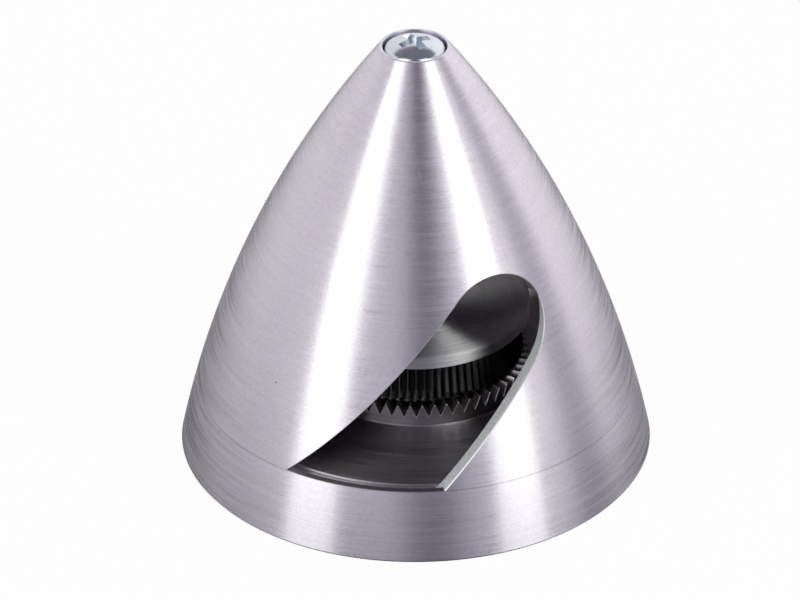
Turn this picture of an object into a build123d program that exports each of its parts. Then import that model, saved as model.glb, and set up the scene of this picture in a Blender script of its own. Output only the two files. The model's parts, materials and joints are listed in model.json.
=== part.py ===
from build123d import *
import math
import os

# Two-blade propeller spinner, in millimetres and degrees.
# The turning axis is Z, with the flat rear rim on Z = 0 and the nose pointing up.
# The blade slots face -Y and +Y, turned a little to the right of the front.

# outer skin, one arc from the rear rim to the nose
base_diameter = 60.0
nose_height = 56.5
skin_arc_radius = 141.0
base_edge_break = 0.3

# cone
cone_wall = 1.9
joint_height = 9.1
lip_width = 1.0
tongue_depth = 0.85
tongue_edge = 0.15
nose_thickness = 7.0
nose_land = 0.32
nose_edge_fillet = 0.15
cavity_roof_fillet = 1.5

# blade slots, milled square to a line through the axis
blade_count = 2
slot_width = 13.0
slot_angle = 45.6
slot_azimuth = 10.5
slot_rise = 6.8
slot_reach = 9.0
slot_edge_break = 0.12

# backplate
register_clearance = 0.1
spigot_height = 0.65
spigot_edge = 0.15
web_rise = 1.6
web_thickness = 4.2
rim_wall = 3.4
recess_fillet = 1.5
hub_radius = 11.0
hub_recess = 1.0
hub_fillet = 1.0
boss_radius = 14.8
boss_height = 2.9
boss_fillet = 0.3
shaft_diameter = 8.0
shaft_clearance = 0.05
bore_edge = 0.4

# radial serrations on the drive face
tooth_count = 60
tooth_depth = 1.65
tooth_crest = 0.12
serration_inner_radius = 9.4
cut_overrun = 0.5

# propeller nut: pilot, fluted drum and collar
pilot_radius = 6.0
pilot_clearance = 0.05
pilot_length = 5.4
pilot_edge = 0.3
drum_bottom_radius = 13.65
drum_top_radius = 12.85
drum_length = 5.15
flute_count = 80
flute_depth = 0.4
collar_radius = 14.45
collar_thickness = 1.75
collar_edge = 0.2
shaft_thread_pitch = 1.25

# pan head nose screw with a cross recess
screw_diameter = 4.0
screw_clearance = 0.2
screw_engagement = 6.0
thread_clearance = 0.05
screw_tip_edge = 0.5
head_diameter = 7.65
head_height = 3.1
head_crown_radius = 6.5
head_edge_fillet = 0.5
head_clearance = 0.2
counterbore_depth = 2.3
recess_span = 4.4
recess_floor_span = 2.2
recess_slot = 1.15
recess_floor_slot = 0.8
recess_depth = 1.9
recess_turn = 28.0

# the nose and the screw head in it
screw_radius = screw_diameter / 2
screw_hole_radius = screw_radius + screw_clearance
head_radius = head_diameter / 2
counterbore_radius = head_radius + head_clearance
nose_face_radius = counterbore_radius + nose_land
head_seat = nose_height - counterbore_depth
head_top = head_seat + head_height
head_shoulder = head_top - head_crown_radius + math.sqrt(head_crown_radius**2 - head_radius**2)
cavity_roof = nose_height - nose_thickness

# the skin's arc, from its two ends and its radius
base_radius = base_diameter / 2
chord = math.hypot(base_radius - nose_face_radius, nose_height)
centre_distance = math.sqrt(skin_arc_radius**2 - (chord / 2) ** 2)
arc_centre_radius = (base_radius + nose_face_radius - 2 * centre_distance * nose_height / chord) / 2
arc_centre_height = (nose_height - 2 * centre_distance * (base_radius - nose_face_radius) / chord) / 2


# radius of the skin, or of the surface that lies inset below it, at a height
def skin_radius(height, inset=0.0):
    return arc_centre_radius + math.sqrt((skin_arc_radius - inset) ** 2 - (height - arc_centre_height) ** 2)


# the arc of the skin, or of the surface that lies inset below it, between two heights
def skin_arc(low, high, inset=0.0):
    heights = (low, (low + high) / 2, high)
    return ThreePointArc(*[(skin_radius(height, inset), height) for height in heights])


# the corner of the sketch in hand that lies at a radius and a height
def corner(radius, height):
    return vertices().sort_by_distance((radius, height))[0]


# the tongue of the cone in the groove of the backplate
joint_radius = skin_radius(joint_height)
tongue_inner_radius = skin_radius(joint_height, cone_wall)
tongue_outer_radius = joint_radius - lip_width
tongue_bottom = joint_height - tongue_depth
groove_outer_radius = tongue_outer_radius + register_clearance
groove_floor = tongue_bottom - register_clearance
spigot_radius = tongue_inner_radius - register_clearance
spigot_top = groove_floor + spigot_height

# heights up the middle, from the web to the end of the screw
web_top = spigot_top + web_rise
web_underside = web_top - web_thickness
drive_face = web_top + boss_height
serration_floor = drive_face - tooth_depth
slot_height = drive_face + slot_rise
pilot_bottom = drive_face - pilot_length
pilot_bore_floor = pilot_bottom - register_clearance
collar_underside = drive_face + drum_length
nut_top = collar_underside + collar_thickness
screw_tip = nut_top - screw_engagement
shaft_thread_top = screw_tip - register_clearance

# the other radii
recess_radius = base_radius - rim_wall
shaft_bore_radius = shaft_diameter / 2 + shaft_clearance
pilot_bore_radius = pilot_radius + pilot_clearance
shaft_thread_radius = (shaft_diameter - shaft_thread_pitch) / 2
cavity_roof_radius = skin_radius(cavity_roof, cone_wall)

os.makedirs("parts", exist_ok=True)

# backplate: one turned piece with a recessed rear, a dished web and a hub
with BuildPart() as backplate:
    with BuildSketch(Plane.XZ):
        with BuildLine():
            skin_arc(0, joint_height)
            Polyline(
                (joint_radius, joint_height),
                (groove_outer_radius, joint_height),
                (groove_outer_radius, groove_floor),
                (spigot_radius, groove_floor),
                (spigot_radius, spigot_top),
                (boss_radius, web_top),
                (boss_radius, drive_face),
                (serration_inner_radius, drive_face),
                (serration_inner_radius, serration_floor),
                (pilot_bore_radius, serration_floor),
                (pilot_bore_radius, pilot_bore_floor),
                (shaft_bore_radius, pilot_bore_floor),
                (shaft_bore_radius, hub_recess),
                (hub_radius, hub_recess),
                (hub_radius, web_underside),
                (recess_radius, web_underside),
                (recess_radius, 0),
                (base_radius, 0),
            )
        make_face()
        fillet(corner(recess_radius, web_underside), recess_fillet)
        fillet(corner(hub_radius, web_underside), hub_fillet)
        fillet(corner(boss_radius, web_top), boss_fillet)
        chamfer(corner(spigot_radius, spigot_top), spigot_edge)
        chamfer(corner(shaft_bore_radius, hub_recess), bore_edge)
        chamfer(corner(base_radius, 0), base_edge_break)
    revolve(axis=Axis.Z)

    # one groove between two teeth: a wedge that narrows towards the axis, so that the crests
    # stay level and the grooves get shallower inwards
    groove_half_width = math.pi * boss_radius / tooth_count - tooth_crest / 2
    for radius in (serration_inner_radius - cut_overrun, boss_radius + cut_overrun):
        rise = tooth_depth * radius / boss_radius
        spread = 2 * groove_half_width * radius / boss_radius
        with BuildSketch(Plane(origin=(radius, 0, drive_face), x_dir=(0, 1, 0), z_dir=(1, 0, 0))):
            with BuildLine():
                Polyline((-spread, rise), (0, -rise), (spread, rise), close=True)
            make_face()
    groove = loft(ruled=True, mode=Mode.PRIVATE)
    with PolarLocations(0, tooth_count):
        add(groove, mode=Mode.SUBTRACT)
backplate.part.label = "backplate"
export_step(backplate.part, "parts/backplate.step")

# cone: a thin turned shell with a solid nose, counterbored for the screw head
with BuildPart() as spinner_cone:
    with BuildSketch(Plane.XZ):
        with BuildLine():
            skin_arc(joint_height, nose_height)
            Polyline(
                (nose_face_radius, nose_height),
                (counterbore_radius, nose_height),
                (counterbore_radius, head_seat),
                (screw_hole_radius, head_seat),
                (screw_hole_radius, cavity_roof),
                (cavity_roof_radius, cavity_roof),
            )
            skin_arc(joint_height, cavity_roof, cone_wall)
            Polyline(
                (tongue_inner_radius, joint_height),
                (tongue_inner_radius, tongue_bottom),
                (tongue_outer_radius, tongue_bottom),
                (tongue_outer_radius, joint_height),
                (joint_radius, joint_height),
            )
        make_face()
        fillet(corner(nose_face_radius, nose_height), nose_edge_fillet)
        fillet(corner(cavity_roof_radius, cavity_roof), cavity_roof_fillet)
        chamfer(corner(tongue_inner_radius, tongue_bottom), tongue_edge)
        chamfer(corner(tongue_outer_radius, tongue_bottom), tongue_edge)
    revolve(axis=Axis.Z)

    # each blade slot is round above, open at the rim and slanted like the blade that passes through
    slant = math.radians(slot_angle)
    slot_run = (slot_height + slot_width) / math.sin(slant)
    slot_middle = (slot_reach - slot_run) / 2
    for blade in range(blade_count):
        bearing = slot_azimuth + 360 * blade / blade_count
        with BuildSketch(Plane.XZ.rotated((0, 0, bearing))):
            with Locations((slot_middle * math.cos(slant), slot_height + slot_middle * math.sin(slant))):
                SlotCenterToCenter(slot_reach + slot_run, slot_width, rotation=slot_angle)
        extrude(amount=base_diameter, mode=Mode.SUBTRACT)
    skin = faces().sort_by(SortBy.AREA)[-1]
    chamfer(skin.edges().filter_by(GeomType.CIRCLE, reverse=True), slot_edge_break)
spinner_cone.part.label = "spinner_cone"
export_step(spinner_cone.part, "parts/spinner_cone.step")

# propeller nut: a fluted, tapered drum between a collar and the pilot that centres it
with BuildPart() as propeller_nut:
    for height, radius in ((drive_face, drum_bottom_radius), (collar_underside, drum_top_radius)):
        with BuildSketch(Plane.XY.offset(height)):
            with BuildLine():
                outline = []
                for step in range(2 * flute_count):
                    reach = radius - flute_depth * (step % 2)
                    bearing = math.pi * step / flute_count
                    outline.append((reach * math.cos(bearing), reach * math.sin(bearing)))
                Polyline(*outline, close=True)
            make_face()
    loft(ruled=True)
    with BuildSketch(Plane.XY.offset(collar_underside)):
        Circle(collar_radius)
    extrude(amount=collar_thickness)
    chamfer(edges(Select.LAST).filter_by(GeomType.CIRCLE), collar_edge)
    with BuildSketch(Plane.XY.offset(drive_face)):
        Circle(pilot_radius)
    extrude(amount=-pilot_length)
    chamfer(faces().sort_by(Axis.Z)[0].edges(), pilot_edge)
    with BuildSketch(Plane.XY.offset(pilot_bottom)):
        Circle(shaft_thread_radius)
    extrude(amount=shaft_thread_top - pilot_bottom, mode=Mode.SUBTRACT)
    with BuildSketch(Plane.XY.offset(shaft_thread_top)):
        Circle(screw_radius + thread_clearance)
    extrude(amount=nut_top - shaft_thread_top, mode=Mode.SUBTRACT)
propeller_nut.part.label = "propeller_nut"
export_step(propeller_nut.part, "parts/propeller_nut.step")


# the twelve corners of two crossed bars
def cross_outline(span, bar):
    corners = []
    for turn in range(0, 360, 90):
        for along, across in ((span / 2, -bar / 2), (span / 2, bar / 2), (bar / 2, bar / 2)):
            corners.append(Vector(along, across).rotate(Axis.Z, turn))
    return corners


# nose screw: a domed pan head on a long shank that reaches into the nut
with BuildPart() as nose_screw:
    with BuildSketch(Plane.XZ):
        with BuildLine():
            RadiusArc((head_radius, head_shoulder), (0, head_top), -head_crown_radius)
            Polyline(
                (0, head_top),
                (0, screw_tip),
                (screw_radius, screw_tip),
                (screw_radius, head_seat),
                (head_radius, head_seat),
                (head_radius, head_shoulder),
            )
        make_face()
        chamfer(corner(screw_radius, screw_tip), screw_tip_edge)
        fillet(corner(head_radius, head_shoulder), head_edge_fillet)
    revolve(axis=Axis.Z)
    for height, span, bar in (
        (head_top, recess_span, recess_slot),
        (head_top - recess_depth, recess_floor_span, recess_floor_slot),
    ):
        with BuildSketch(Plane.XY.offset(height).rotated((0, 0, recess_turn))):
            with BuildLine():
                Polyline(*cross_outline(span, bar), close=True)
            make_face()
    loft(ruled=True, mode=Mode.SUBTRACT)
nose_screw.part.label = "nose_screw"
export_step(nose_screw.part, "parts/nose_screw.step")
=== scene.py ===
import json
import math

import bmesh
import bpy
from mathutils import Matrix, Vector

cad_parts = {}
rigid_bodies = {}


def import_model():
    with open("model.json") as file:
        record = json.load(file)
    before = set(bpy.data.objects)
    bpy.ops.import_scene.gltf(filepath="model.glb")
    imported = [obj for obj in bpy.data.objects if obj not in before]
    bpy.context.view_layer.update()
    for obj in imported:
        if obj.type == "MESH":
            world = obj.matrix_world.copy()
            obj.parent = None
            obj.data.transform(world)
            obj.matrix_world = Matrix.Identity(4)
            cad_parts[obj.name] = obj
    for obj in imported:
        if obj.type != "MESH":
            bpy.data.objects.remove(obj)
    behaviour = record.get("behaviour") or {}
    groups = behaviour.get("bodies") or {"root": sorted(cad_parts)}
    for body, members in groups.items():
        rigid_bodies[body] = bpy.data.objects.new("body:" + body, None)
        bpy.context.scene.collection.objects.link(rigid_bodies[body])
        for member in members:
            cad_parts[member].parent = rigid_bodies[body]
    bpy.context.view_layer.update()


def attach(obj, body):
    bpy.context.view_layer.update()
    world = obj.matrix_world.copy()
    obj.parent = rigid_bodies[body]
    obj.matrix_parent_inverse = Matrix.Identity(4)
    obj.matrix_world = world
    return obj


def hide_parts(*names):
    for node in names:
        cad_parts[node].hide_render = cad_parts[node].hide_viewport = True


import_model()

# Sizes are in millimetres and degrees, as on the part's drawing; meshes are written in metres.
mm = 0.001


# the photograph's point of view
cameraSetup = {
    "place": (-1.96, -618.8, 397.2),
    "aim": (-1.96, 0.0, 19.86),
    "roll": -0.25,
    "focalPixels": 5740.0,  # the focal length in pixels of an image this wide
    "imageWidth": 800.0,
    "sensorWidth": 36.0,
    "nearest": 10.0,
}


def makeCamera(setup):
    data = bpy.data.cameras.new("camera")
    data.sensor_fit = "HORIZONTAL"
    data.sensor_width = setup["sensorWidth"]
    data.lens = setup["focalPixels"] / setup["imageWidth"] * setup["sensorWidth"]
    data.clip_start = setup["nearest"] * mm
    place = Vector(setup["place"]) * mm
    forward = (Vector(setup["aim"]) * mm - place).normalized()
    right = forward.cross(Vector((0, 0, 1))).normalized()
    up = right.cross(forward)
    roll = math.radians(setup["roll"])
    across = right * math.cos(roll) + up * math.sin(roll)
    upright = up * math.cos(roll) - right * math.sin(roll)
    camera = bpy.data.objects.new("camera", data)
    turned = Matrix((across, upright, -forward)).transposed().to_4x4()
    camera.matrix_world = Matrix.Translation(place) @ turned
    bpy.context.collection.objects.link(camera)
    bpy.context.scene.camera = camera


makeCamera(cameraSetup)
bpy.context.scene.view_settings.view_transform = "Standard"
print("camera in place")


# shader sums are written as Python expressions on sockets
class Signal:
    def __init__(self, wiring, socket):
        self.wiring = wiring
        self.socket = socket

    def sum(self, operation, *others, swapped=False):
        values = [self, *others]
        if swapped:
            values.reverse()
        return self.wiring.add("ShaderNodeMath", {"operation": operation}, *values)

    def __add__(self, other):
        return self.sum("ADD", other)

    def __radd__(self, other):
        return self.sum("ADD", other)

    def __sub__(self, other):
        return self.sum("SUBTRACT", other)

    def __rsub__(self, other):
        return self.sum("SUBTRACT", other, swapped=True)

    def __mul__(self, other):
        return self.sum("MULTIPLY", other)

    def __rmul__(self, other):
        return self.sum("MULTIPLY", other)

    def __truediv__(self, other):
        return self.sum("DIVIDE", other)

    def __rtruediv__(self, other):
        return self.sum("DIVIDE", other, swapped=True)

    def __pow__(self, other):
        return self.sum("POWER", other)

    def highest(self, other):
        return self.sum("MAXIMUM", other)


class Wiring:
    def __init__(self, tree):
        self.tree = tree

    # a node's type, its settings, its inputs in order or by name, and the output that is wanted
    def add(self, kind, settings=None, *inputs, output=0, **named):
        node = self.tree.nodes.new(kind)
        for setting, value in (settings or {}).items():
            setattr(node, setting, value)
        for key, value in [*enumerate(inputs), *named.items()]:
            self.feed(node.inputs[key if isinstance(key, int) else key.replace("_", " ")], value)
        return Signal(self, node.outputs[output]) if node.outputs else node

    # an input takes a link from a signal, or else a value
    def feed(self, socket, value):
        if isinstance(value, Signal):
            self.tree.links.new(value.socket, socket)
        else:
            socket.default_value = value

    # the X, Y and Z of a vector
    def split(self, vector):
        node = self.tree.nodes.new("ShaderNodeSeparateXYZ")
        self.feed(node.inputs[0], vector)
        return [Signal(self, output) for output in node.outputs]

    # a smooth step as value goes from low to high
    def between(self, value, low, high, to=(0.0, 1.0)):
        return self.add(
            "ShaderNodeMapRange", {"interpolation_type": "SMOOTHSTEP"}, value, low, high, to[0], to[1]
        )

    # from the first colour to the second as share goes from 0 to 1
    def mixColour(self, share, first, second):
        node = self.tree.nodes.new("ShaderNodeMix")
        node.data_type = "RGBA"
        sockets = [socket for socket in node.inputs if socket.enabled]
        for socket, value in zip(sockets, (share, first, second)):
            self.feed(socket, value)
        return Signal(self, [socket for socket in node.outputs if socket.enabled][0])

    # soft random variation from 0 to 1 over the surface, with 0.5 as its middle
    def noise(self, place, scale, detail, roughness=0.5):
        return self.add(
            "ShaderNodeTexNoise",
            None,
            Vector=place,
            Scale=scale,
            Detail=detail,
            Roughness=roughness,
            output="Fac",
        )


def newMaterial(name):
    material = bpy.data.materials.new(name)
    material.use_nodes = True
    material.node_tree.nodes.clear()
    return material, Wiring(material.node_tree)


def grey(level):
    return (level, level, level, 1.0)


# levels are brightness, with 1 as white, and facings run from 0, seen square on, to 1, seen edge on
studioSetup = {
    "floorReach": 4000.0,
    "floorHeight": -0.02,
    "floorColour": 0.8,
    "cameraWhite": 0.97,
    "floorLow": 0.09,
    "floorLowFacing": 0.658,
    "floorMirrorFacing": 0.844,
    "floorMirror": 0.95,
    "floorRoughness": 0.05,
    "skyLeft": 0.72,
    "skyRight": 0.92,
    "skyBlend": 0.5,  # how far to each side of the middle the two sky levels blend
    "ceiling": 0.16,
    "ceilingHeights": (0.69, 0.78),
    "darkTint": (0.99, 0.98, 1.13, 1.0),
    "tintedLevels": (0.3, 0.75),  # the dark tint fades out between these levels
    "boxElevation": 34.0,
    "boxDistance": 1000.0,
    "boxHeight": 1500.0,
    "boxRadiance": 1.05,
    "boxColour": (0.94, 1.0, 0.92),
}

# darker stretches of the studio round the horizon: middle, half width and fade in degrees, and level
darkStretches = (
    (0.0, 36.0, 26.0, 0.54),
    (8.0, 2.0, 22.0, 0.19),
    (90.0, 3.0, 16.0, 0.46),
    (-90.0, 3.0, 16.0, 0.68),
)
# the two long softboxes: name, azimuth in degrees and width
softboxes = (("softboxLeft", -50.0, 480.0), ("softboxRight", 49.5, 450.0))


# a soft grey room: lighter to the right, darker round the horizon's dark stretches and under the ceiling
def makeWorld(setup):
    world = bpy.data.worlds.new("studio")
    bpy.context.scene.world = world
    world.use_nodes = True
    world.node_tree.nodes.clear()
    wiring = Wiring(world.node_tree)
    direction = wiring.add("ShaderNodeTexCoord", output="Generated")
    x, y, z = wiring.split(direction)
    azimuth = x.sum("ARCTAN2", 0.0 - y) * (180.0 / math.pi)
    blend = setup["skyBlend"]
    glow = wiring.between(x, -blend, blend, (setup["skyLeft"], setup["skyRight"]))
    for middle, reach, fade, level in darkStretches:
        away = (azimuth - middle).sum("ABSOLUTE")
        share = 1.0 - wiring.between(away, reach, reach + fade)
        glow = glow + share * (level - glow)
    ceiling = wiring.between(z, *setup["ceilingHeights"])
    glow = glow + ceiling * (setup["ceiling"] - glow)
    camera = wiring.add("ShaderNodeLightPath", output="Is Camera Ray")
    level = glow + camera * (1.0 - glow)
    tint = wiring.mixColour(wiring.between(level, *setup["tintedLevels"]), setup["darkTint"], grey(1.0))
    background = wiring.add("ShaderNodeBackground", None, tint, level)
    wiring.add("ShaderNodeOutputWorld", None, background)


# the floor is white to the camera, and clear from below; in the metal it is dark where it is seen from
# high up, and mirrors the studio at a low angle
def makeFloor(setup):
    material, wiring = newMaterial("studioFloor")
    camera = wiring.add("ShaderNodeLightPath", output="Is Camera Ray")
    glossy = wiring.add("ShaderNodeLightPath", output="Is Glossy Ray")
    clear = wiring.add("ShaderNodeLightPath", output="Is Transmission Ray")
    paper = wiring.add("ShaderNodeBsdfDiffuse", None, grey(setup["floorColour"]))
    white = wiring.add("ShaderNodeEmission", None, Strength=1.0)
    plain = wiring.add("ShaderNodeMixShader", None, camera * setup["cameraWhite"] + clear, paper, white)
    facing = wiring.add("ShaderNodeLayerWeight", None, 0.5, output="Facing")
    low = wiring.between(facing, setup["floorLowFacing"], setup["floorMirrorFacing"])
    dark = wiring.add("ShaderNodeEmission", None, setup["darkTint"], setup["floorLow"])
    mirror = wiring.add(
        "ShaderNodeBsdfAnisotropic", None, grey(setup["floorMirror"]), setup["floorRoughness"]
    )
    mirrored = wiring.add("ShaderNodeMixShader", None, low, dark, mirror)
    above = wiring.add("ShaderNodeMixShader", None, glossy, plain, mirrored)
    below = wiring.add("ShaderNodeNewGeometry", output="Backfacing")
    unseen = wiring.add("ShaderNodeBsdfTransparent")
    surface = wiring.add("ShaderNodeMixShader", None, below, above, unseen)
    wiring.add("ShaderNodeOutputMaterial", None, surface)

    reach = setup["floorReach"] * mm
    height = setup["floorHeight"] * mm
    mesh = bpy.data.meshes.new("floor")
    corners = ((-reach, -reach), (reach, -reach), (reach, reach), (-reach, reach))
    mesh.from_pydata([(x, y, height) for x, y in corners], [], [(0, 1, 2, 3)])
    mesh.materials.append(material)
    floor = bpy.data.objects.new("floor", mesh)
    bpy.context.collection.objects.link(floor)


# each softbox stands on its bearing and faces the origin
def makeSoftboxes(setup):
    elevation = math.radians(setup["boxElevation"])
    for name, bearing, width in softboxes:
        azimuth = math.radians(bearing)
        level = math.cos(elevation)
        outward = Vector((math.sin(azimuth) * level, -math.cos(azimuth) * level, math.sin(elevation)))
        lamp = bpy.data.lights.new(name, "AREA")
        lamp.shape = "RECTANGLE"
        lamp.color = setup["boxColour"]
        lamp.size = width * mm
        lamp.size_y = setup["boxHeight"] * mm
        lamp.energy = setup["boxRadiance"] * math.pi * lamp.size * lamp.size_y
        box = bpy.data.objects.new(name, lamp)
        box.rotation_euler = outward.to_track_quat("Z", "Y").to_euler()
        box.location = outward * setup["boxDistance"] * mm
        bpy.context.collection.objects.link(box)


makeWorld(studioSetup)
makeFloor(studioSetup)
makeSoftboxes(studioSetup)
print("floor, softboxes and surroundings made")


# how far the guard points lie beyond a rounded corner, in its own radii; they keep its neighbours flat
guardShare = 0.4


# the outline of a turned piece, from corners (radius, height, size, steps): one step cuts the corner by
# size, more round it with size as the radius, and none leaves it sharp
def softened(corners):
    points = []
    for index, (radius, height, size, steps) in enumerate(corners):
        here = Vector((radius, height))
        if steps == 0:
            points.append((radius, height))
            continue
        before = (Vector(corners[index - 1][:2]) - here).normalized()
        after = (Vector(corners[(index + 1) % len(corners)][:2]) - here).normalized()
        if steps == 1:
            points += [tuple(here + before * size), tuple(here + after * size)]
            continue
        half = math.acos(max(-1.0, min(1.0, before.dot(after)))) / 2
        reach = size / math.tan(half)
        centre = here + (before + after).normalized() * size / math.sin(half)
        first = here + before * reach - centre
        last = here + after * reach - centre
        start = math.atan2(first.y, first.x)
        turn = (math.atan2(last.y, last.x) - start + math.pi) % (2 * math.pi) - math.pi
        guard = size * guardShare
        points.append(tuple(here + before * (reach + guard)))
        for step in range(steps + 1):
            angle = start + turn * step / steps
            points.append((centre.x + size * math.cos(angle), centre.y + size * math.sin(angle)))
        points.append(tuple(here + after * (reach + guard)))
    return points


# a mesh from points in millimetres; each face may have the number of a finish other than the first
def makePiece(name, points, faces, finishNumbers=None):
    mesh = bpy.data.meshes.new(name)
    mesh.from_pydata([tuple(c * mm for c in point) for point in points], [], faces)
    numbers = mesh.attributes.new("finish", "INT", "FACE")
    for index, number in (finishNumbers or {}).items():
        numbers.data[index].value = number
    piece = bpy.data.objects.new(name, mesh)
    bpy.context.collection.objects.link(piece)
    return piece


# faces between rows of equally many points, with the last row joined to the first
def joinRows(rowCount, columnCount):
    faces = []
    for row in range(rowCount):
        upper = (row + 1) % rowCount
        for column in range(columnCount - 1):
            faces.append(
                (
                    row * columnCount + column,
                    row * columnCount + column + 1,
                    upper * columnCount + column + 1,
                    upper * columnCount + column,
                )
            )
    return faces


# one node tree repeats a sector round the axis, or a turn of thread along it
def makeRepeatTree():
    tree = bpy.data.node_groups.new("repeatRound", "GeometryNodeTree")
    inputs = (
        ("Sector", "NodeSocketGeometry"),
        ("Copies", "NodeSocketInt"),
        ("Turn", "NodeSocketFloat"),
        ("Rise", "NodeSocketFloat"),
        ("Weld", "NodeSocketFloat"),
        ("Finish", "NodeSocketMaterial"),
    )
    for name, kind in inputs:
        tree.interface.new_socket(name=name, in_out="INPUT", socket_type=kind)
    tree.interface.new_socket(name="Piece", in_out="OUTPUT", socket_type="NodeSocketGeometry")
    wiring = Wiring(tree)
    given = {name: wiring.add("NodeGroupInput", None, output=name) for name, kind in inputs}
    index = wiring.add("GeometryNodeInputIndex")
    rise = wiring.add("ShaderNodeCombineXYZ", None, Z=index * given["Rise"])
    turn = wiring.add("ShaderNodeCombineXYZ", None, Z=index * given["Turn"])
    places = wiring.add("GeometryNodePoints", None, given["Copies"], rise)
    copies = wiring.add(
        "GeometryNodeInstanceOnPoints",
        None,
        places,
        Instance=given["Sector"],
        Rotation=wiring.add("FunctionNodeEulerToRotation", None, turn),
    )
    real = wiring.add("GeometryNodeRealizeInstances", None, copies)
    welded = wiring.add("GeometryNodeMergeByDistance", None, real, Distance=given["Weld"])
    finished = wiring.add("GeometryNodeSetMaterial", None, welded, Material=given["Finish"])
    wiring.add("NodeGroupOutput", None, finished)
    return tree


repeatTree = makeRepeatTree()


# the modifier's result becomes the piece's own mesh, and the modifier goes
def keepResult(piece, modifier):
    bpy.context.view_layer.update()
    made = piece.evaluated_get(bpy.context.evaluated_depsgraph_get())
    mesh = bpy.data.meshes.new_from_object(made)
    piece.modifiers.remove(modifier)
    piece.data = mesh


# copies are turned about the axis by turn each, and lifted by rise each
def repeatSector(piece, finish, copies, turn, rise=0.0, weld=0.002):
    modifier = piece.modifiers.new("repeat", "NODES")
    modifier.node_group = repeatTree
    values = {
        "Copies": copies,
        "Turn": math.radians(turn),
        "Rise": rise * mm,
        "Weld": weld * mm,
        "Finish": finish,
    }
    for item in repeatTree.interface.items_tree:
        if item.name in values:
            modifier[item.identifier] = values[item.name]
    keepResult(piece, modifier)


# normals outwards, numbered faces given their own finish, crisp edges kept crisp
def finishPiece(piece, node, finishes, sharpAngle=28.0):
    mesh = piece.data
    shell = bmesh.new()
    shell.from_mesh(mesh)
    bmesh.ops.recalc_face_normals(shell, faces=shell.faces)
    shell.to_mesh(mesh)
    shell.free()
    numbers = [entry.value for entry in mesh.attributes["finish"].data]
    mesh.materials.clear()
    for number in sorted(finishes):
        mesh.materials.append(finishes[number])
    for face in mesh.polygons:
        face.material_index = numbers[face.index]
    mesh.attributes.remove(mesh.attributes["finish"])
    mesh.shade_smooth()
    mesh.set_sharp_from_angle(angle=math.radians(sharpAngle))
    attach(piece, "root")
    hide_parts(node)


# small marks of handling on the skin; a share above 1 lifts the metal past white, a painted glint on the
# mark: bearing, height, slant, half length, half width, and the share of the tone that it has there
handlingMarksAndGlints = (
    (-1.75, 8.4, 48.0, 0.6, 0.09, 2.2),
    (-44.5, 18.75, 0.0, 0.13, 0.11, 0.3),
    (2.6, 45.0, 104.0, 0.85, 0.08, 1.6),
)

# a mark fades out between these squares of the distance from its middle
markFade = (0.4, 1.1)

# nearer to the axis than this, a bearing has no meaning
smallestRadius = 0.01


# the tone with the marks of handling in it, the brighter ones carrying their painted glint
def markedAndGlintTone(wiring, tone, x, y, z, radius, marksAndGlints):
    for azimuth, height, slant, halfLength, halfWidth, level in marksAndGlints:
        across = (x.sum("ARCTAN2", 0.0 - y) - math.radians(azimuth)) * radius / mm
        rise = z / mm - height
        turn = math.radians(slant)
        along = (across * math.cos(turn) + rise * math.sin(turn)) / halfLength
        aside = (rise * math.cos(turn) - across * math.sin(turn)) / halfWidth
        inside = 1.0 - wiring.between(along * along + aside * aside, *markFade)
        # a share above 1 lifts the colour past white: a painted glint
        tone = tone * (inside * (level - 1.0) + 1.0)
    return tone


# turned metal: fine rings round the axis, a few longer streaks among them
def turnedMetal(name, look):
    material, wiring = newMaterial(name)
    place = wiring.add("ShaderNodeTexCoord", output="Object")
    x, y, z = wiring.split(place)
    radius = ((x * x + y * y) ** 0.5).highest(smallestRadius * mm)
    run = (z - radius) / mm
    east = x / radius
    north = y / radius

    # noise that is stretched along the rings, with so many lines to a millimetre across them
    def rings(streak, perMillimetre, detail):
        along = wiring.add(
            "ShaderNodeCombineXYZ", None, east * streak, north * streak, run * perMillimetre
        )
        return wiring.noise(along, 1.0, detail, 0.6)

    fine = rings(look["streak"], look["fineLines"], 2.0)
    broad = rings(look["streak"] * look["broadStreak"], look["broadLines"], 1.0)
    lines = fine * look["fineShare"] + broad * (1.0 - look["fineShare"])
    cloud = wiring.noise(place, look["cloudScale"], 3.0)
    grain = wiring.noise(place, look["grainScale"], 1.0)
    tone = 1.0 + (lines - 0.5) * look["lineContrast"] + (cloud - 0.5) * look["cloudContrast"]
    tone = tone + (grain - 0.5) * look["grainContrast"]
    tone = markedAndGlintTone(wiring, tone, x, y, z, radius, look["marksAndGlints"])
    colour = wiring.add("ShaderNodeVectorMath", {"operation": "SCALE"}, look["colour"], Scale=tone)
    roughness = look["roughness"] + (lines - 0.5) * look["roughnessSpread"]
    relief = look["relief"] * mm
    grained = wiring.add("ShaderNodeBump", None, Strength=look["grainBump"], Distance=relief, Height=grain)
    bump = wiring.add(
        "ShaderNodeBump", None, Strength=look["bump"], Distance=relief, Height=lines, Normal=grained
    )
    surface = wiring.add(
        "ShaderNodeBsdfPrincipled",
        None,
        Base_Color=colour,
        Metallic=1.0,
        Roughness=roughness,
        Anisotropic=look["anisotropy"],
        Anisotropic_Rotation=look["anisotropyTurn"],
        Normal=bump,
    )
    wiring.add("ShaderNodeOutputMaterial", None, surface)
    return material


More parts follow.
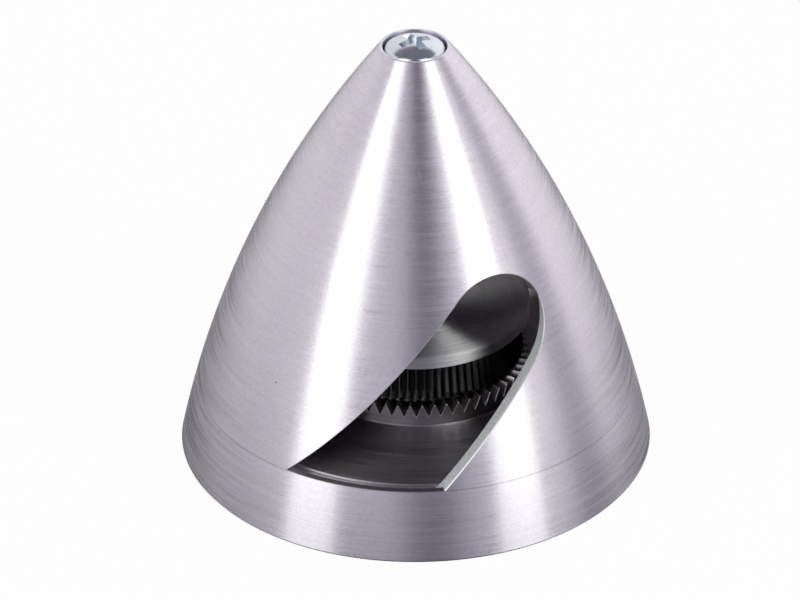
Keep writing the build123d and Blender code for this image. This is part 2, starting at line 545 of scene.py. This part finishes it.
# milled metal: even matt grain with a few dark specks
def milledMetal(name, look):
    material, wiring = newMaterial(name)
    place = wiring.add("ShaderNodeTexCoord", output="Object")
    grain = wiring.noise(place, look["grainScale"], 3.0)
    specks = wiring.noise(place, look["speckScale"], 1.0)
    dark = wiring.between(specks, look["speckLevel"], look["speckLevel"] + look["speckFade"])
    tone = (1.0 + (grain - 0.5) * look["grainContrast"]) * (1.0 - dark * look["speckDepth"])
    colour = wiring.add("ShaderNodeVectorMath", {"operation": "SCALE"}, look["colour"], Scale=tone)
    bump = wiring.add(
        "ShaderNodeBump", None, Strength=look["bump"], Distance=look["relief"] * mm, Height=grain
    )
    surface = wiring.add(
        "ShaderNodeBsdfPrincipled",
        None,
        Base_Color=colour,
        Metallic=look["metallic"],
        Roughness=look["roughness"] + (grain - 0.5) * look["roughnessSpread"],
        Normal=bump,
    )
    wiring.add("ShaderNodeOutputMaterial", None, surface)
    return material


turnedLook = {
    "colour": (0.87, 0.81, 0.90),
    "roughness": 0.30,
    "roughnessSpread": 0.34,
    "anisotropy": 0.85,
    "anisotropyTurn": 0.25,
    "streak": 2.6,
    "fineLines": 5.0,
    "fineShare": 0.65,
    "broadLines": 1.2,
    "broadStreak": 0.6,
    "lineContrast": 0.55,
    "cloudScale": 160.0,
    "cloudContrast": 0.08,
    "grainScale": 2400.0,
    "grainContrast": 0.2,
    "bump": 0.45,
    "grainBump": 0.3,
    "relief": 0.01,
    "marksAndGlints": handlingMarksAndGlints,
}
cleanLook = dict(turnedLook, marksAndGlints=())
nutLook = dict(cleanLook, colour=(0.97, 0.93, 0.97), roughness=0.5, anisotropy=1.0, lineContrast=0.7)
# the inside of the cone from the counterbore's floor on: the turned metal darkened, a painted shade of the
# hollow
insideShadeLook = dict(cleanLook, colour=(0.34, 0.31, 0.36), roughness=0.34, anisotropy=0.8)
# the web, spigot and boss inside the joint: the turned metal darkened, a painted shade under the cone
plateShadeLook = dict(
    cleanLook,
    colour=(0.48, 0.44, 0.47),
    roughness=0.34,
    anisotropy=0.9,
    fineLines=3.0,
    lineContrast=1.0,
)
milledLook = {
    "colour": (0.93, 0.93, 0.95),
    "metallic": 0.25,
    "roughness": 0.6,
    "roughnessSpread": 0.2,
    "grainScale": 2600.0,
    "grainContrast": 0.55,
    "speckScale": 1500.0,
    "speckLevel": 0.72,
    "speckFade": 0.06,
    "speckDepth": 0.5,
    "bump": 0.4,
    "relief": 0.02,
}
# the teeth: glossier than the milled metal, and darkened as a painted shade inside the cone
toothShadeLook = dict(milledLook, colour=(0.5, 0.46, 0.48), metallic=1.0, roughness=0.25, grainContrast=0.2)
brokenLook = dict(milledLook, colour=(0.95, 0.95, 0.97), metallic=0.6, roughness=0.4, grainContrast=0.3)
# the fluted drum: nearly black, a painted shade under the collar
fluteShadeLook = dict(toothShadeLook, colour=(0.10, 0.095, 0.10), roughness=0.2, speckDepth=0.0)
zincLook = {
    "colour": (0.84, 0.88, 0.94),
    "metallic": 1.0,
    "roughness": 0.17,
    "roughnessSpread": 0.2,
    "grainScale": 900.0,
    "grainContrast": 0.12,
    "speckScale": 1200.0,
    "speckLevel": 0.74,
    "speckFade": 0.06,
    "speckDepth": 0.3,
    "bump": 0.1,
    "relief": 0.02,
}
turnedAluminium = turnedMetal("turnedAluminium", turnedLook)
insideShadeAluminium = turnedMetal("insideShadeAluminium", insideShadeLook)
plateShadeAluminium = turnedMetal("plateShadeAluminium", plateShadeLook)
nutAluminium = turnedMetal("nutAluminium", nutLook)
milledAluminium = milledMetal("milledAluminium", milledLook)
toothShadeAluminium = milledMetal("toothShadeAluminium", toothShadeLook)
fluteShadeAluminium = milledMetal("fluteShadeAluminium", fluteShadeLook)
brokenAluminium = milledMetal("brokenAluminium", brokenLook)
zincPlate = milledMetal("zincPlate", zincLook)
print("finishes mixed")


# the skin is one arc from the rear rim to the nose
skinSizes = {"baseRadius": 30.0, "noseHeight": 56.5, "noseRadius": 4.345, "arcRadius": 141.0}


# the centre of the skin's arc, on the far side of the axis
def skinCentre(sizes):
    width = sizes["baseRadius"] - sizes["noseRadius"]
    chord = math.hypot(width, sizes["noseHeight"])
    away = math.sqrt(sizes["arcRadius"] ** 2 - chord**2 / 4)
    radius = (sizes["baseRadius"] + sizes["noseRadius"]) / 2 - away * sizes["noseHeight"] / chord
    height = sizes["noseHeight"] / 2 - away * width / chord
    return radius, height


skinCentreRadius, skinCentreHeight = skinCentre(skinSizes)


# the radius of the skin at a height, or of a surface that lies inside it
def skinRadius(height, inset=0.0):
    reach = skinSizes["arcRadius"] - inset
    return skinCentreRadius + math.sqrt(reach**2 - (height - skinCentreHeight) ** 2)


coneSizes = {
    "wall": 1.9,
    "jointHeight": 9.1,
    "lipWidth": 1.0,
    "tongueDepth": 0.85,
    "tongueEdge": 0.15,
    "noseEdge": 0.15,
    "counterboreRadius": 4.025,
    "counterboreDepth": 2.3,
    "counterboreEdge": 0.05,
    "holeRadius": 2.2,
    "roofHeight": 49.5,
    "roofFillet": 1.5,
    "noseRow": 1.0,  # the skin's last row, below the nose
    "roofRow": 3.0,  # the wall's first row, below the roof
    "slotWidth": 13.0,
    "slotSlant": 45.6,
    "slotAzimuth": 10.5,
    "slotHeight": 20.1,
    "slotReach": 9.0,
    "slotEdge": 0.12,
    "columns": 110,
    "roundSteps": 16,
    "sideSteps": 32,
    "straightSteps": 26,
    "upperRows": 44,
    "innerRows": 26,
}


# pairs of points on the slot's right and left edge, (across, height): from its top down to the joint, and
# from there down to the end of the tongue
def slotEdges(sizes, spread=0.0):
    slant = math.radians(sizes["slotSlant"])
    along = Vector((math.cos(slant), math.sin(slant)))
    centre = Vector((0.0, sizes["slotHeight"])) + along * sizes["slotReach"]
    reach = sizes["slotWidth"] / 2 + spread

    def rim(angle):
        return centre + Vector((math.cos(angle), math.sin(angle))) * reach

    quarter = math.pi / 2
    leftStart = rim(quarter + slant)
    rightStart = rim(slant - quarter)

    def onLine(start, height):
        return start + along * ((height - start.y) / along.y)

    pairs = []
    for step in range(sizes["roundSteps"] + 1):
        turn = slant * step / sizes["roundSteps"]
        pairs.append((rim(quarter - turn), rim(quarter + turn)))
    for step in range(1, sizes["sideSteps"] + 1):
        right = rim((quarter - slant) * (1 - 2 * step / sizes["sideSteps"]))
        pairs.append((right, onLine(leftStart, right.y)))
    low = sizes["jointHeight"]
    for step in range(1, sizes["straightSteps"] + 1):
        height = rightStart.y + (low - rightStart.y) * step / sizes["straightSteps"]
        pairs.append((onLine(rightStart, height), onLine(leftStart, height)))
    below = [
        (onLine(rightStart, height), onLine(leftStart, height))
        for height in (low - sizes["tongueDepth"] + sizes["tongueEdge"], low - sizes["tongueDepth"])
    ]
    return pairs, below


# where the screw's head sits, on the counterbore's floor
seatHeight = skinSizes["noseHeight"] - coneSizes["counterboreDepth"]


# the radius of the wall inside the cone at a height
def wallRadius(height):
    return skinRadius(height, coneSizes["wall"])


# a turned surface of one radius at every height
def always(radius):
    return lambda height: radius


# where a point of a slot's edge lies round a turned surface; the rear slot is half a turn on
def edgeAngle(radiusAt, edge, opposite=False):
    angle = math.asin(edge.x / radiusAt(edge.y))
    return angle + math.pi if opposite else angle


# a row of the half cone, from slot to slot: a rule for its radius at a height, and the angle and height of
# its two ends
def rowBetween(radiusAt, pair):
    right, left = pair
    return radiusAt, edgeAngle(radiusAt, right), right.y, edgeAngle(radiusAt, left, opposite=True), left.y


# a level row above the slots
def ringAt(radius, height, angle):
    return always(radius), angle, height, angle + math.pi, height


# the nose in section: the end of the skin, the counterbore and hole, and the roof and wall inside
def noseOutline(sizes):
    top = skinSizes["noseHeight"]
    roof = sizes["roofHeight"]
    shoulder = top - sizes["noseRow"]
    under = roof - sizes["roofRow"]
    return softened(
        [
            (skinRadius(shoulder), shoulder, 0, 0),
            (skinSizes["noseRadius"], top, sizes["noseEdge"], 5),
            (sizes["counterboreRadius"], top, sizes["counterboreEdge"], 1),
            (sizes["counterboreRadius"], seatHeight, 0, 0),
            (sizes["holeRadius"], seatHeight, 0, 0),
            (sizes["holeRadius"], roof, 0, 0),
            (wallRadius(roof), roof, sizes["roofFillet"], 8),
            (wallRadius(under), under, 0, 0),
        ]
    )


# the rings above the slots: up the skin, over the nose and down the wall inside; with them comes the number
# of the first one darkened with painted shade, at the counterbore's floor
def noseRings(sizes, slotTopOut, slotTopIn):
    outline = noseOutline(sizes)
    outerSeam = edgeAngle(skinRadius, slotTopOut)
    innerSeam = edgeAngle(wallRadius, slotTopIn)
    rings = []
    upper = outline[0][1]
    for step in range(1, sizes["upperRows"]):
        height = slotTopOut.y + (upper - slotTopOut.y) * step / sizes["upperRows"]
        rings.append(ringAt(skinRadius(height), height, outerSeam))
    firstInsideShade = len(rings) + outline.index((sizes["counterboreRadius"], seatHeight))
    for number, (radius, height) in enumerate(outline):
        share = number / (len(outline) - 1)
        rings.append(ringAt(radius, height, outerSeam + (innerSeam - outerSeam) * share))
    lower = outline[-1][1]
    for step in range(1, sizes["innerRows"]):
        height = lower + (slotTopIn.y - lower) * step / sizes["innerRows"]
        rings.append(ringAt(wallRadius(height), height, innerSeam))
    return rings, firstInsideShade


# half of the cone, from the right edge of the front slot round to the left edge of the rear one
def makeCone(sizes):
    azimuth = math.radians(sizes["slotAzimuth"])
    columns = sizes["columns"]
    turned, milled, insideShade, broken = range(4)

    def pointAt(radius, angle, height):
        return (radius * math.sin(angle + azimuth), -radius * math.cos(angle + azimuth), height)

    cutPairs, belowPairs = slotEdges(sizes)
    brokenPairs = slotEdges(sizes, sizes["slotEdge"])[0]
    rows = [rowBetween(skinRadius, pair) for pair in reversed(brokenPairs)]
    outerTop = len(rows) - 1
    rings, firstInsideShade = noseRings(sizes, brokenPairs[0][0], cutPairs[0][0])
    insideShadeStart = len(rows) + firstInsideShade
    rows += rings
    innerTop = len(rows)
    rows += [rowBetween(wallRadius, pair) for pair in cutPairs]
    innerLow = len(rows) - 1

    # the tongue under the wall, and the lip beside it
    lipRadius = skinRadius(sizes["jointHeight"]) - sizes["lipWidth"]
    tongueRadius = wallRadius(sizes["jointHeight"])
    edge = sizes["tongueEdge"]
    tongue = (
        (tongueRadius, belowPairs[0]),
        (tongueRadius + edge, belowPairs[1]),
        (lipRadius - edge, belowPairs[1]),
        (lipRadius, belowPairs[0]),
        (lipRadius, cutPairs[-1]),
    )
    rows += [rowBetween(always(radius), pair) for radius, pair in tongue]

    points = []
    for radiusAt, startAngle, startHeight, endAngle, endHeight in rows:
        for column in range(columns + 1):
            share = column / columns
            height = startHeight + (endHeight - startHeight) * share
            points.append(pointAt(radiusAt(height), startAngle + (endAngle - startAngle) * share, height))
    faces = joinRows(len(rows), columns + 1)
    # from the counterbore's floor down the wall inside, the faces have the darkened finish, a painted shade
    finishNumbers = {face: insideShade for face in range(insideShadeStart * columns, innerLow * columns)}
    milledStart = len(faces)
    brokenFaces = []

    # the cut faces at both ends: a broken edge, the wall in two strips, and the lip with the tongue
    lipShare = (sizes["lipWidth"] - sizes["slotEdge"]) / sizes["wall"]
    for side, opposite in ((0, False), (1, True)):
        column = columns if opposite else 0
        wallRows = []
        for step, pair in enumerate(cutPairs):
            edgePoint = pair[side]
            outer = (outerTop - step) * (columns + 1) + column
            inner = (innerTop + step) * (columns + 1) + column
            edgeRadius = skinRadius(edgePoint.y) - sizes["slotEdge"]
            middleRadius = edgeRadius + (wallRadius(edgePoint.y) - edgeRadius) * lipShare
            if step == len(cutPairs) - 1:
                middleRadius = lipRadius
            added = len(points)
            for radius in (edgeRadius, middleRadius):
                angle = math.asin(edgePoint.x / radius) + (math.pi if opposite else 0.0)
                points.append(pointAt(radius, angle, edgePoint.y))
            wallRows.append((outer, added, added + 1, inner))
        for above, below in zip(wallRows, wallRows[1:]):
            brokenFaces.append(len(faces))
            for strip in range(3):
                faces.append((above[strip], above[strip + 1], below[strip + 1], below[strip]))
        last = wallRows[-1]
        faces.append((last[0], last[1], last[2]))
        tongueRows = [(innerLow + number) * (columns + 1) + column for number in range(1, len(tongue))]
        faces.append((last[2], last[3], *tongueRows))
    finishNumbers.update({face: milled for face in range(milledStart, len(faces))})
    finishNumbers.update({face: broken for face in brokenFaces})
    piece = makePiece("spinnerCone", points, faces, finishNumbers)
    repeatSector(piece, turnedAluminium, 2, 180.0)
    finishes = {
        turned: turnedAluminium,
        milled: milledAluminium,
        insideShade: insideShadeAluminium,
        broken: brokenAluminium,
    }
    finishPiece(piece, "spinner_cone", finishes)


makeCone(coneSizes)
print("cone turned and slotted")


# one sector of a turned piece: rows follow its outline, a rule may move a point of the outline at an angle,
# and a row may have the number of a finish other than the first
def makeSector(name, outline, angles, rule, rowFinishes=None):
    points = []
    for radius, height in outline:
        for angle in angles:
            movedRadius, movedHeight = rule(radius, height, angle)
            turn = math.radians(angle)
            points.append((movedRadius * math.cos(turn), movedRadius * math.sin(turn), movedHeight))
    faces = joinRows(len(outline), len(angles))
    width = len(angles) - 1
    finishNumbers = {}
    for row, number in (rowFinishes or {}).items():
        for column in range(width):
            finishNumbers[row * width + column] = number
    return makePiece(name, points, faces, finishNumbers)


plateSizes = {
    "baseEdge": 0.3,
    "jointHeight": coneSizes["jointHeight"],
    "jointEdge": 0.04,
    "jointNotch": 0.06,
    "grooveOuterRadius": 26.9,
    "grooveFloor": 8.15,
    "spigotRadius": 25.72,
    "spigotTop": 8.8,
    "spigotEdge": 0.15,
    "bossRadius": 14.8,
    "bossFillet": 0.3,
    "webTop": 10.4,
    "plateShadeStart": 8.4,  # above this height the rows inside the joint have the darker finish, a painted shade
    "driveFace": 13.3,
    "toothCount": 60,
    "toothDepth": 1.65,
    "toothCrest": 0.12,
    "toothEdge": 0.07,
    "serrationInnerRadius": 9.4,
    "serrationFloor": 11.65,
    "pilotBoreRadius": 6.05,
    "pilotBoreFloor": 7.8,
    "shaftBoreRadius": 4.05,
    "boreEdge": 0.4,
    "hubRecess": 1.0,
    "hubRadius": 11.0,
    "hubEdge": 0.2,
    "hubFillet": 1.0,
    "webUnderside": 6.2,
    "recessRadius": 26.6,
    "recessEdge": 0.1,
    "recessFillet": 1.5,
    "skinRows": 14,
    "skinStop": 0.2,  # the skin's last row, below the joint
}


# the base ring, the web and the toothed boss, one tooth groove at a time
def makePlate(sizes):
    pitch = 360.0 / sizes["toothCount"]
    halfGroove = math.pi * sizes["bossRadius"] / sizes["toothCount"] - sizes["toothCrest"] / 2
    grooveAngle = math.degrees(math.atan(halfGroove / sizes["bossRadius"]))
    face = sizes["driveFace"]
    joint = sizes["jointHeight"]
    turned, plateShade, tooth, broken = range(4)
    corners = []
    skinTop = joint - sizes["skinStop"]
    for row in range(sizes["skinRows"] + 1):
        height = sizes["baseEdge"] + (skinTop - sizes["baseEdge"]) * row / sizes["skinRows"]
        corners.append((skinRadius(height), height, 0, 0))
    notch = sizes["jointNotch"]
    corners += [
        (skinRadius(joint - notch), joint - notch, 0, 0),
        (skinRadius(joint) - notch, joint - notch, 0, 0),
        (skinRadius(joint) - notch, joint, 0, 0),
        (sizes["grooveOuterRadius"], joint, sizes["jointEdge"], 1),
        (sizes["grooveOuterRadius"], sizes["grooveFloor"], 0, 0),
        (sizes["spigotRadius"], sizes["grooveFloor"], 0, 0),
        (sizes["spigotRadius"], sizes["spigotTop"], sizes["spigotEdge"], 1),
        (sizes["bossRadius"], sizes["webTop"], sizes["bossFillet"], 5),
        (sizes["bossRadius"], face, sizes["toothEdge"], 1),
        (sizes["serrationInnerRadius"], face, 0, 0),
        (sizes["serrationInnerRadius"], sizes["serrationFloor"], 0, 0),
        (sizes["pilotBoreRadius"], sizes["serrationFloor"], 0, 0),
        (sizes["pilotBoreRadius"], sizes["pilotBoreFloor"], 0, 0),
        (sizes["shaftBoreRadius"], sizes["pilotBoreFloor"], 0, 0),
        (sizes["shaftBoreRadius"], sizes["hubRecess"], sizes["boreEdge"], 1),
        (sizes["hubRadius"], sizes["hubRecess"], sizes["hubEdge"], 1),
        (sizes["hubRadius"], sizes["webUnderside"], sizes["hubFillet"], 6),
        (sizes["recessRadius"], sizes["webUnderside"], sizes["recessFillet"], 6),
        (sizes["recessRadius"], 0.0, sizes["recessEdge"], 1),
        (skinSizes["baseRadius"] - sizes["baseEdge"], 0.0, 0, 0),
    ]
    outline = softened(corners)

    # the grooves narrow and get shallower towards the axis, so the crests stay level
    def cutTeeth(radius, height, angle):
        if height < face - 2 * sizes["toothEdge"]:
            return radius, height
        across = abs(math.tan(math.radians(angle)))
        share = max(0.0, 1.0 - across * sizes["bossRadius"] / halfGroove)
        depth = sizes["toothDepth"] * radius * math.cos(math.radians(angle)) / sizes["bossRadius"]
        return radius, height - depth * share

    # across one pitch: half a crest, the groove's side in thirds, its bottom, and the same back up
    angles = [-pitch / 2, -grooveAngle, -grooveAngle * 2 / 3, -grooveAngle / 3, 0.0]
    angles += [-angle for angle in reversed(angles[:-1])]
    plateShadeEnd = skinRadius(joint) - notch / 2
    # the rows inside the joint are darkened, a painted shade under the cone
    rowFinishes = {}
    for row, (radius, height) in enumerate(outline):
        if height > face - 2 * sizes["toothEdge"]:
            # the teeth are darkened, a painted shade; their broken outer edges keep the bright finish
            rowFinishes[row] = broken if radius > sizes["bossRadius"] - sizes["toothEdge"] / 2 else tooth
        elif height > sizes["plateShadeStart"] and sizes["pilotBoreRadius"] < radius < plateShadeEnd:
            rowFinishes[row] = plateShade
    piece = makeSector("rearPlate", outline, angles, cutTeeth, rowFinishes)
    repeatSector(piece, turnedAluminium, sizes["toothCount"], pitch)
    finishes = {
        turned: turnedAluminium,
        plateShade: plateShadeAluminium,
        tooth: toothShadeAluminium,
        broken: brokenAluminium,
    }
    finishPiece(piece, "backplate", finishes)


makePlate(plateSizes)
print("backplate turned and its teeth cut")


nutSizes = {
    "pilotRadius": 6.0,
    "pilotBottom": 7.9,
    "pilotEdge": 0.3,
    "driveFace": plateSizes["driveFace"],
    "drumBottomRadius": 13.65,
    "drumTopRadius": 12.85,
    "fluteCount": 80,
    "fluteDepth": 0.4,
    "fluteCrest": 0.14,
    "collarUnderside": 18.45,
    "collarRadius": 14.45,
    "collarEdge": 0.2,
    "top": 20.2,
    "shaftThreadRadius": 3.375,
    "shaftThreadTop": 14.1,
    "shaftThreadEdge": 0.2,
    "screwHoleRadius": 2.05,
    "screwHoleEdge": 0.15,
    "drumRows": 6,
    "near": 0.01,  # how exactly a row has to match a size
}


# the pilot, the fluted drum and the collar, one flute's crest at a time
def makeNut(sizes):
    pitch = 360.0 / sizes["fluteCount"]
    half = pitch / 2
    low = sizes["driveFace"]
    high = sizes["collarUnderside"]
    near = sizes["near"]
    turned, fluted = range(2)
    corners = [
        (sizes["shaftThreadRadius"], sizes["pilotBottom"], sizes["shaftThreadEdge"], 1),
        (sizes["pilotRadius"], sizes["pilotBottom"], sizes["pilotEdge"], 1),
        (sizes["pilotRadius"], low, 0, 0),
    ]
    for row in range(sizes["drumRows"] + 1):
        share = row / sizes["drumRows"]
        radius = sizes["drumBottomRadius"] + (sizes["drumTopRadius"] - sizes["drumBottomRadius"]) * share
        corners.append((radius, low + (high - low) * share, 0, 0))
    corners += [
        (sizes["collarRadius"], high, sizes["collarEdge"], 1),
        (sizes["collarRadius"], sizes["top"], sizes["collarEdge"], 1),
        (sizes["screwHoleRadius"], sizes["top"], sizes["screwHoleEdge"], 1),
        (sizes["screwHoleRadius"], sizes["shaftThreadTop"], 0, 0),
        (sizes["shaftThreadRadius"], sizes["shaftThreadTop"], 0, 0),
    ]
    outline = softened(corners)

    # the flutes run up the drum alone, so the collar and the pilot stay round
    def cutFlutes(radius, height, angle):
        onDrum = sizes["drumTopRadius"] - near < radius < sizes["drumBottomRadius"] + near
        if not onDrum or height >= high + near:
            return radius, height
        share = max(0.0, abs(angle) / half - sizes["fluteCrest"]) / (1.0 - sizes["fluteCrest"])
        return radius - sizes["fluteDepth"] * share, height

    crest = half * sizes["fluteCrest"]
    angles = [-half, -(half + crest) / 2, -crest, crest, (half + crest) / 2, half]
    # the drum's rows are nearly black, a painted shade under the collar
    rowFinishes = {}
    for row, (radius, height) in enumerate(outline):
        if low - near < height < high - near and radius > sizes["drumTopRadius"] - near:
            rowFinishes[row] = fluted
    piece = makeSector("propellerNut", outline, angles, cutFlutes, rowFinishes)
    repeatSector(piece, nutAluminium, sizes["fluteCount"], pitch)
    finishes = {turned: nutAluminium, fluted: fluteShadeAluminium}
    finishPiece(piece, "propeller_nut", finishes)


makeNut(nutSizes)
print("nut turned and its drum fluted")


screwSizes = {
    "radius": 2.0,
    "coreRadius": 1.6,
    "tip": 14.2,
    "tipChamfer": 0.1,
    "threadStart": 14.7,
    "threadTop": 53.0,
    "threadRunout": 0.2,
    "threadPitch": 0.7,
    "threadColumns": 32,
    "threadCrest": 0.09,
    "threadRoot": 0.3,
    "threadSunk": 0.1,  # how far the ridge reaches into the core
    "headSeat": seatHeight,
    "headTop": 57.29,
    "headRadius": 3.825,
    "headSeatEdge": 0.1,
    "headEdge": 0.9,
    "crownRadius": 8.0,
    "crownRows": 14,
    "crownReach": 2.5,
    "shortestEdge": 0.0005,  # what is shorter is taken out of the turned body
    "sectors": 12,
    "sectorColumns": 9,
    "recessSpan": 4.4,
    "recessFloorSpan": 2.2,
    "recessSlot": 1.15,
    "recessFloorSlot": 0.8,
    "recessDepth": 1.9,
    "recessTurn": 30.0,
    "recessOverrun": 0.3,
}


# the cross-shaped cutter that leaves the recess in the head
def makeCross(sizes):
    points = []
    faces = []
    grow = sizes["recessOverrun"] / sizes["recessDepth"]
    top = (
        sizes["headTop"] + sizes["recessOverrun"],
        sizes["recessSpan"] + (sizes["recessSpan"] - sizes["recessFloorSpan"]) * grow,
        sizes["recessSlot"] + (sizes["recessSlot"] - sizes["recessFloorSlot"]) * grow,
    )
    floor = (sizes["headTop"] - sizes["recessDepth"], sizes["recessFloorSpan"], sizes["recessFloorSlot"])
    for height, span, bar in (floor, top):
        for arm in range(4):
            turn = math.radians(sizes["recessTurn"] + 90 * arm)
            for along, across in ((span / 2, -bar / 2), (span / 2, bar / 2), (bar / 2, bar / 2)):
                x = along * math.cos(turn) - across * math.sin(turn)
                y = along * math.sin(turn) + across * math.cos(turn)
                points.append((x, y, height))
    count = len(points) // 2
    for side in range(count):
        faces.append((side, (side + 1) % count, count + (side + 1) % count, count + side))
    faces.append(tuple(reversed(range(count))))
    faces.append(tuple(range(count, 2 * count)))
    return makePiece("cross", points, faces)


# one turn of the ridge, repeated up the shank with its open ends closed
def makeThread(sizes):
    pitch = sizes["threadPitch"]
    columns = sizes["threadColumns"]
    inside = sizes["coreRadius"] - sizes["threadSunk"]
    section = (
        (inside, -sizes["threadRoot"]),
        (sizes["radius"], -sizes["threadCrest"] / 2),
        (sizes["radius"], sizes["threadCrest"] / 2),
        (inside, sizes["threadRoot"]),
    )
    bottom = sizes["threadStart"] + sizes["threadRoot"]
    turns = int((sizes["threadTop"] - bottom) / pitch)
    points = []
    for column in range(columns + 1):
        angle = 2 * math.pi * column / columns
        for radius, lift in section:
            height = bottom + pitch * column / columns + lift
            points.append((radius * math.cos(angle), radius * math.sin(angle), height))
    faces = []
    around = len(section)
    for column in range(columns):
        for side in range(around):
            first = column * around + side
            second = column * around + (side + 1) % around
            faces.append((first, second, second + around, first + around))
    thread = makePiece("thread", points, faces)
    repeatSector(thread, zincPlate, turns, 0.0, pitch)
    ridge = bmesh.new()
    ridge.from_mesh(thread.data)
    bmesh.ops.holes_fill(ridge, edges=[edge for edge in ridge.edges if edge.is_boundary])
    ridge.to_mesh(thread.data)
    ridge.free()
    return thread


# the head and shank as one turned body, the recess cut into it, and the thread's ridge round it
def makeScrew(sizes):
    top = sizes["headTop"]
    crown = sizes["crownRadius"]
    shoulder = top - crown + math.sqrt(crown**2 - sizes["headRadius"] ** 2)
    corners = [(0.0, top, 0, 0)]
    for row in range(1, sizes["crownRows"] + 1):
        radius = sizes["crownReach"] * row / sizes["crownRows"]
        corners.append((radius, top - crown + math.sqrt(crown**2 - radius**2), 0, 0))
    corners += [
        (sizes["headRadius"], shoulder, sizes["headEdge"], 8),
        (sizes["headRadius"], sizes["headSeat"], sizes["headSeatEdge"], 1),
        (sizes["radius"], sizes["headSeat"], 0, 0),
        (sizes["radius"], sizes["threadTop"] + sizes["threadRunout"], 0, 0),
        (sizes["coreRadius"], sizes["threadTop"] - sizes["threadRunout"], 0, 0),
        (sizes["coreRadius"], sizes["tip"] + sizes["tipChamfer"], 0, 0),
        (sizes["coreRadius"] - sizes["tipChamfer"], sizes["tip"], 0, 0),
        (0.0, sizes["tip"], 0, 0),
    ]
    outline = softened(corners)
    sector = 360.0 / sizes["sectors"]
    steps = sizes["sectorColumns"] - 1
    angles = [sector * step / steps for step in range(steps + 1)]
    piece = makeSector("noseScrew", outline, angles, lambda radius, height, angle: (radius, height))
    repeatSector(piece, zincPlate, sizes["sectors"], sector)
    cleaned = bmesh.new()
    cleaned.from_mesh(piece.data)
    bmesh.ops.dissolve_degenerate(cleaned, dist=sizes["shortestEdge"] * mm, edges=cleaned.edges)
    bmesh.ops.recalc_face_normals(cleaned, faces=cleaned.faces)
    cleaned.to_mesh(piece.data)
    cleaned.free()

    cutter = makeCross(sizes)
    cut = piece.modifiers.new("recess", "BOOLEAN")
    cut.operation = "DIFFERENCE"
    cut.solver = "EXACT"
    cut.object = cutter
    keepResult(piece, cut)
    bpy.data.objects.remove(cutter)

    thread = makeThread(sizes)
    whole = bmesh.new()
    whole.from_mesh(piece.data)
    whole.from_mesh(thread.data)
    whole.to_mesh(piece.data)
    whole.free()
    bpy.data.objects.remove(thread)
    finishPiece(piece, "nose_screw", {0: zincPlate})


makeScrew(screwSizes)
print("nose screw turned and threaded")

for piece in bpy.data.objects:
    if piece.type == "MESH" and not piece.hide_render:
        print(piece.name, sum(len(face.vertices) - 2 for face in piece.data.polygons), "triangles")
